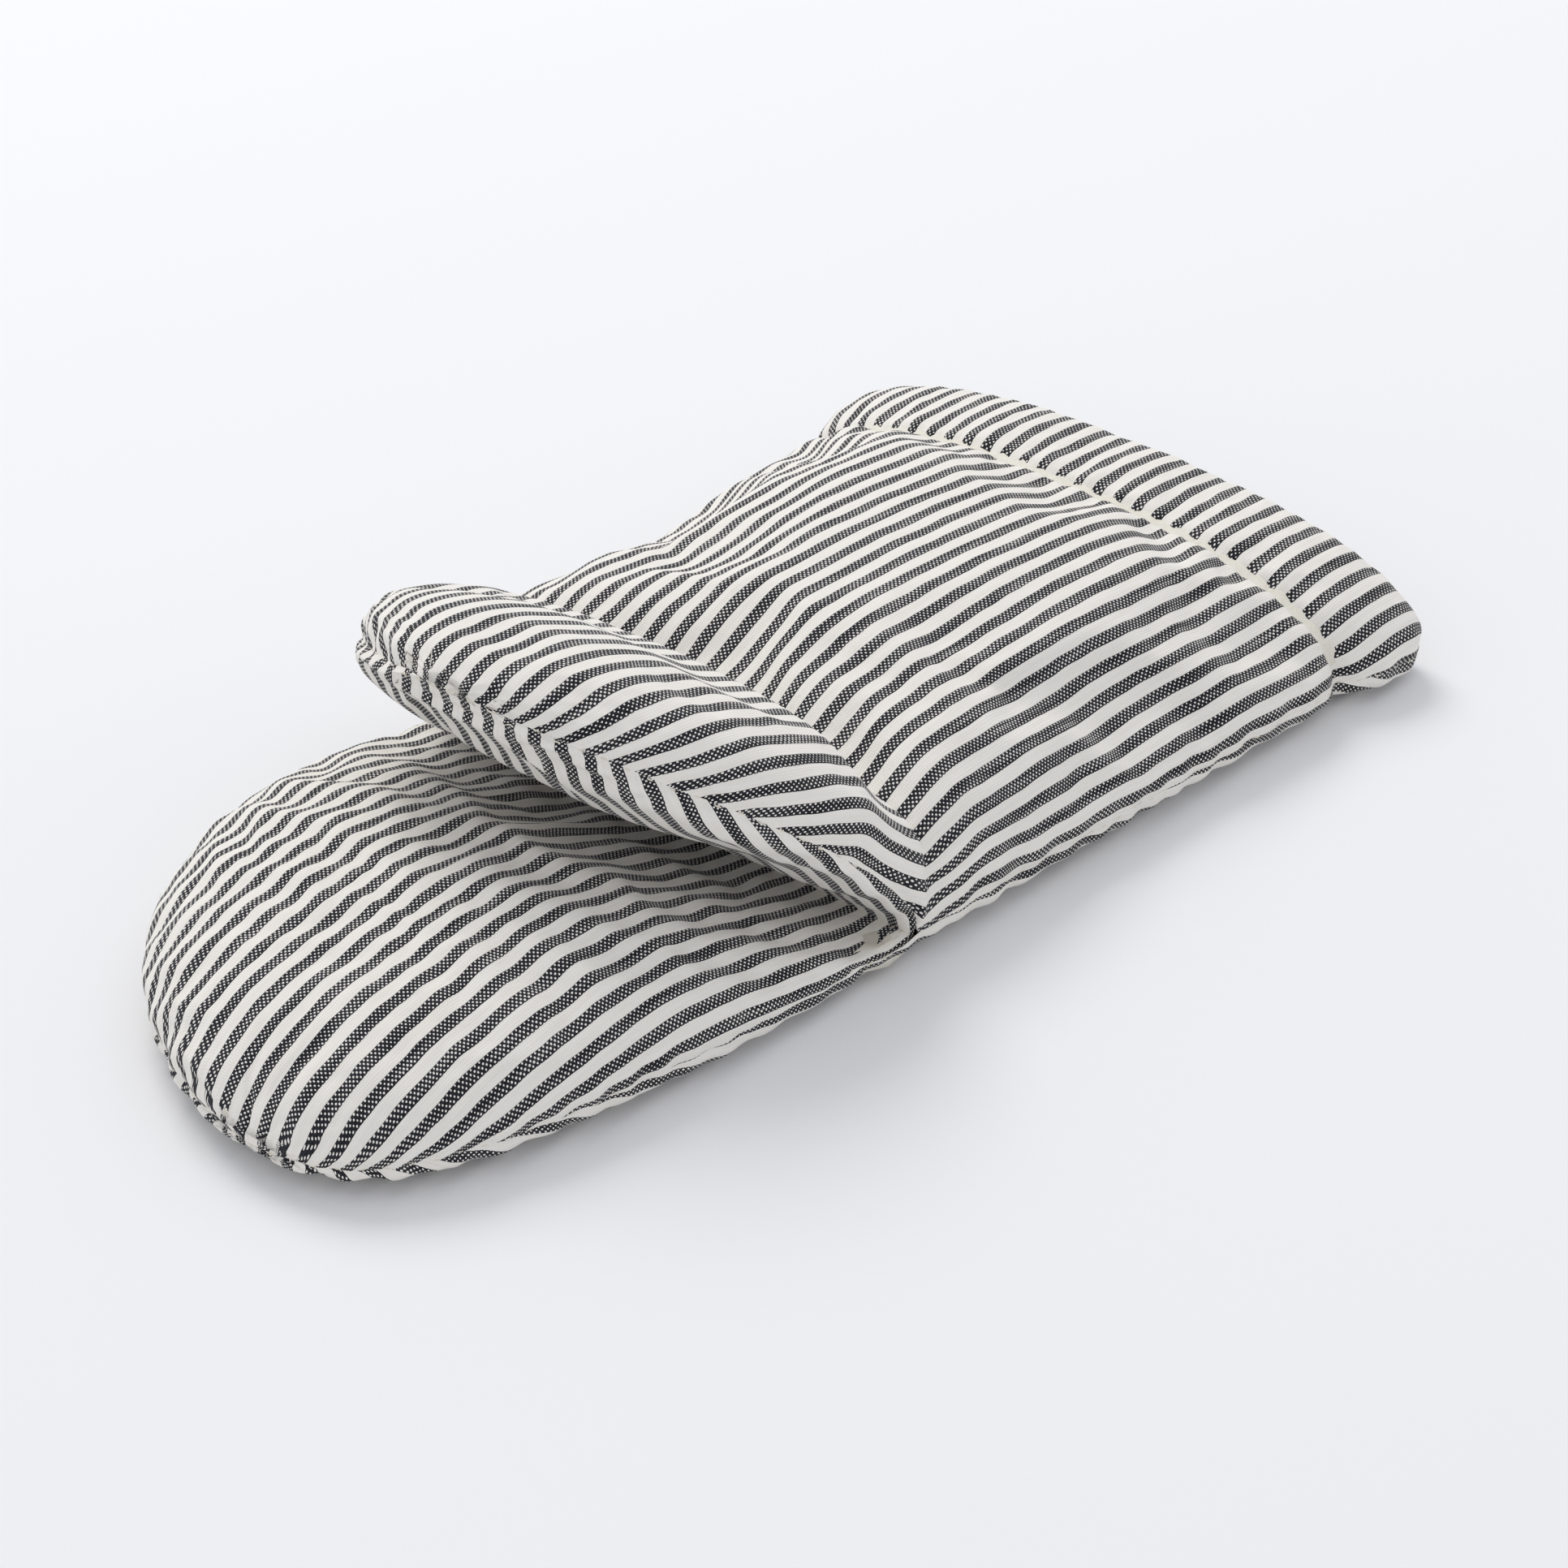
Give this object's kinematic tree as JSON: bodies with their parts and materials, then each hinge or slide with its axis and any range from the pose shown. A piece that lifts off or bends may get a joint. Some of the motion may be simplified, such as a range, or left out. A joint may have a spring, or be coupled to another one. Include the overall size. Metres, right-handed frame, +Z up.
{
  "type": "oven mitt",
  "caption": "Padded linen oven mitt lying palm up, with a full-width thumb flap that folds on a crease across the palm and fingers that curl towards it.",
  "frame": {"origin": "on the table, under the middle of the crease that the thumb flap turns on", "axes": "+X across the mitt, towards the side that the fingertips lean to; +Y from the fingertips to the open cuff; +Z up, out of the palm"},
  "size_m": [0.1814, 0.3372, 0.0797],
  "materials": {
    "linen_ticking": "woven linen, cream with narrow charcoal stripes along the mitt",
    "cotton_wadding": "needled cotton wadding",
    "cotton_lining": "plain woven cotton",
    "cotton_thread": "matte sewing thread"
  },
  "bodies": {
    "hand": {"back_shell": "linen_ticking", "back_wadding": "cotton_wadding", "back_lining": "cotton_lining", "palm_shell": "linen_ticking", "palm_wadding": "cotton_wadding", "palm_lining": "cotton_lining", "wrist_shell": "linen_ticking", "wrist_wadding": "cotton_wadding", "wrist_lining": "cotton_lining", "cuff_facing": "linen_ticking", "cuff_row_stitches": "cotton_thread", "side_seam_stitches": "cotton_thread", "palm_seam_stitches": "cotton_thread"},
    "fingers": {"finger_back_shell": "linen_ticking", "finger_back_wadding": "cotton_wadding", "finger_back_lining": "cotton_lining", "finger_palm_shell": "linen_ticking", "finger_palm_wadding": "cotton_wadding", "finger_palm_lining": "cotton_lining", "fingertip_seam_stitches": "cotton_thread"},
    "thumb": {"thumb_back_shell": "linen_ticking", "thumb_back_wadding": "cotton_wadding", "thumb_back_lining": "cotton_lining", "thumb_palm_shell": "linen_ticking", "thumb_palm_wadding": "cotton_wadding", "thumb_palm_lining": "cotton_lining", "thumb_seam_stitches": "cotton_thread"}
  },
  "joints": [
    {"name": "thumb_fold", "type": "hinge", "parent": "hand", "child": "thumb", "pos_m": [0, 0, 0.008], "axis": [-1, 0, 0], "range_deg": [-8, 33]},
    {"name": "finger_curl", "type": "hinge", "parent": "hand", "child": "fingers", "pos_m": [0, -0.058, 0.036], "axis": [-1, 0, 0], "range_deg": [0, 35]}
  ]
}
